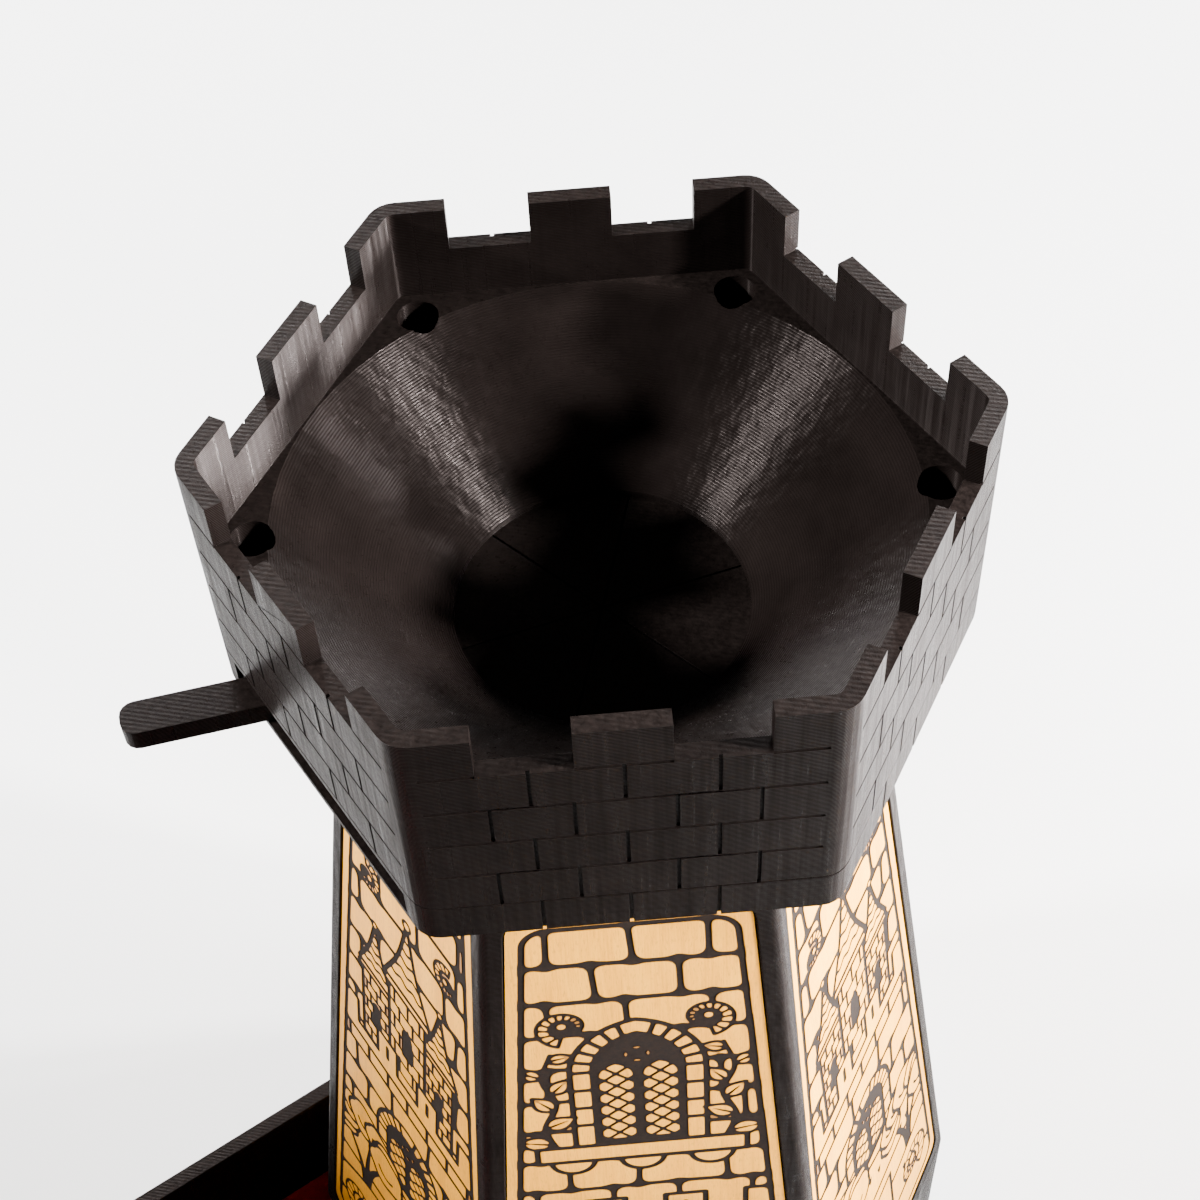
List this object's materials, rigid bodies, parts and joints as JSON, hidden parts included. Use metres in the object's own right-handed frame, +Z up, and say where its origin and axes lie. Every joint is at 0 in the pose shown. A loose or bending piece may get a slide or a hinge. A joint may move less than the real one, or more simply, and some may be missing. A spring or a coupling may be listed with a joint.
{
  "type": "dice tower",
  "caption": "Hexagonal castle dice tower: battlement hopper with a lever-worked gate, wooden side panels, sloping baffles, and a felt-lined tray that slides away from its exit.",
  "frame": {"origin": "on the surface that the tower and tray stand on, at the middle of the whole footprint; the tower's axis is at y = +60.15 mm", "axes": "+Z up; -Y from the tower out over the tray; +X to the right when the exit is seen from the tray"},
  "size_m": [0.1424, 0.2442, 0.2871],
  "materials": {
    "black_print": "satin black printed plastic",
    "maple_ply": "engraved pale plywood",
    "black_steel": "blackened screws",
    "red_felt": "red felt"
  },
  "bodies": {
    "tower": {"crown_hopper": "black_print", "gate_housing": "black_print", "crown_screw_1": "black_steel", "crown_screw_2": "black_steel", "crown_screw_3": "black_steel", "crown_screw_4": "black_steel", "crown_screw_5": "black_steel", "crown_screw_6": "black_steel", "tower_shell": "black_print", "wood_panel_1": "maple_ply", "wood_panel_2": "maple_ply", "wood_panel_3": "maple_ply", "wood_panel_4": "maple_ply", "wood_panel_5": "maple_ply", "wood_panel_6": "maple_ply", "baffle_top": "black_print", "baffle_middle": "black_print", "baffle_bottom": "black_print", "tower_base": "black_print", "exit_ramp": "black_print"},
    "gate_ring": {"gate_ring": "black_print"},
    "gate_blade_1": {"gate_blade_1": "black_print"},
    "gate_blade_2": {"gate_blade_2": "black_print"},
    "gate_blade_3": {"gate_blade_3": "black_print"},
    "gate_blade_4": {"gate_blade_4": "black_print"},
    "gate_blade_5": {"gate_blade_5": "black_print"},
    "gate_blade_6": {"gate_blade_6": "black_print"},
    "tray": {"dice_tray": "black_print", "tray_felt": "red_felt"}
  },
  "joints": [
    {"name": "gate_turn", "type": "hinge", "parent": "tower", "child": "gate_ring", "pos_m": [0, 0.06015, 0.2426], "axis": [0, 0, 1], "range_deg": [0, 42]},
    {"name": "blade_1_slide", "type": "slide", "parent": "tower", "child": "gate_blade_1", "axis": [0.2588, 0.9659, 0], "range_m": [0, 0.0273]},
    {"name": "blade_2_slide", "type": "slide", "parent": "tower", "child": "gate_blade_2", "axis": [-0.7071, 0.7071, 0], "range_m": [0, 0.0273]},
    {"name": "blade_3_slide", "type": "slide", "parent": "tower", "child": "gate_blade_3", "axis": [-0.9659, -0.2588, 0], "range_m": [0, 0.0273]},
    {"name": "blade_4_slide", "type": "slide", "parent": "tower", "child": "gate_blade_4", "axis": [-0.2588, -0.9659, 0], "range_m": [0, 0.0273]},
    {"name": "blade_5_slide", "type": "slide", "parent": "tower", "child": "gate_blade_5", "axis": [0.7071, -0.7071, 0], "range_m": [0, 0.0273]},
    {"name": "blade_6_slide", "type": "slide", "parent": "tower", "child": "gate_blade_6", "axis": [0.9659, 0.2588, 0], "range_m": [0, 0.0273]},
    {"name": "tray_slide", "type": "slide", "parent": "tower", "child": "tray", "axis": [0, -1, 0], "range_m": [0, 0.08]}
  ],
  "couplings": [
    {"joint": "blade_1_slide", "follows": "gate_turn", "m_per_rad": 0.037175},
    {"joint": "blade_2_slide", "follows": "gate_turn", "m_per_rad": 0.037175},
    {"joint": "blade_3_slide", "follows": "gate_turn", "m_per_rad": 0.037175},
    {"joint": "blade_4_slide", "follows": "gate_turn", "m_per_rad": 0.037175},
    {"joint": "blade_5_slide", "follows": "gate_turn", "m_per_rad": 0.037175},
    {"joint": "blade_6_slide", "follows": "gate_turn", "m_per_rad": 0.037175}
  ]
}
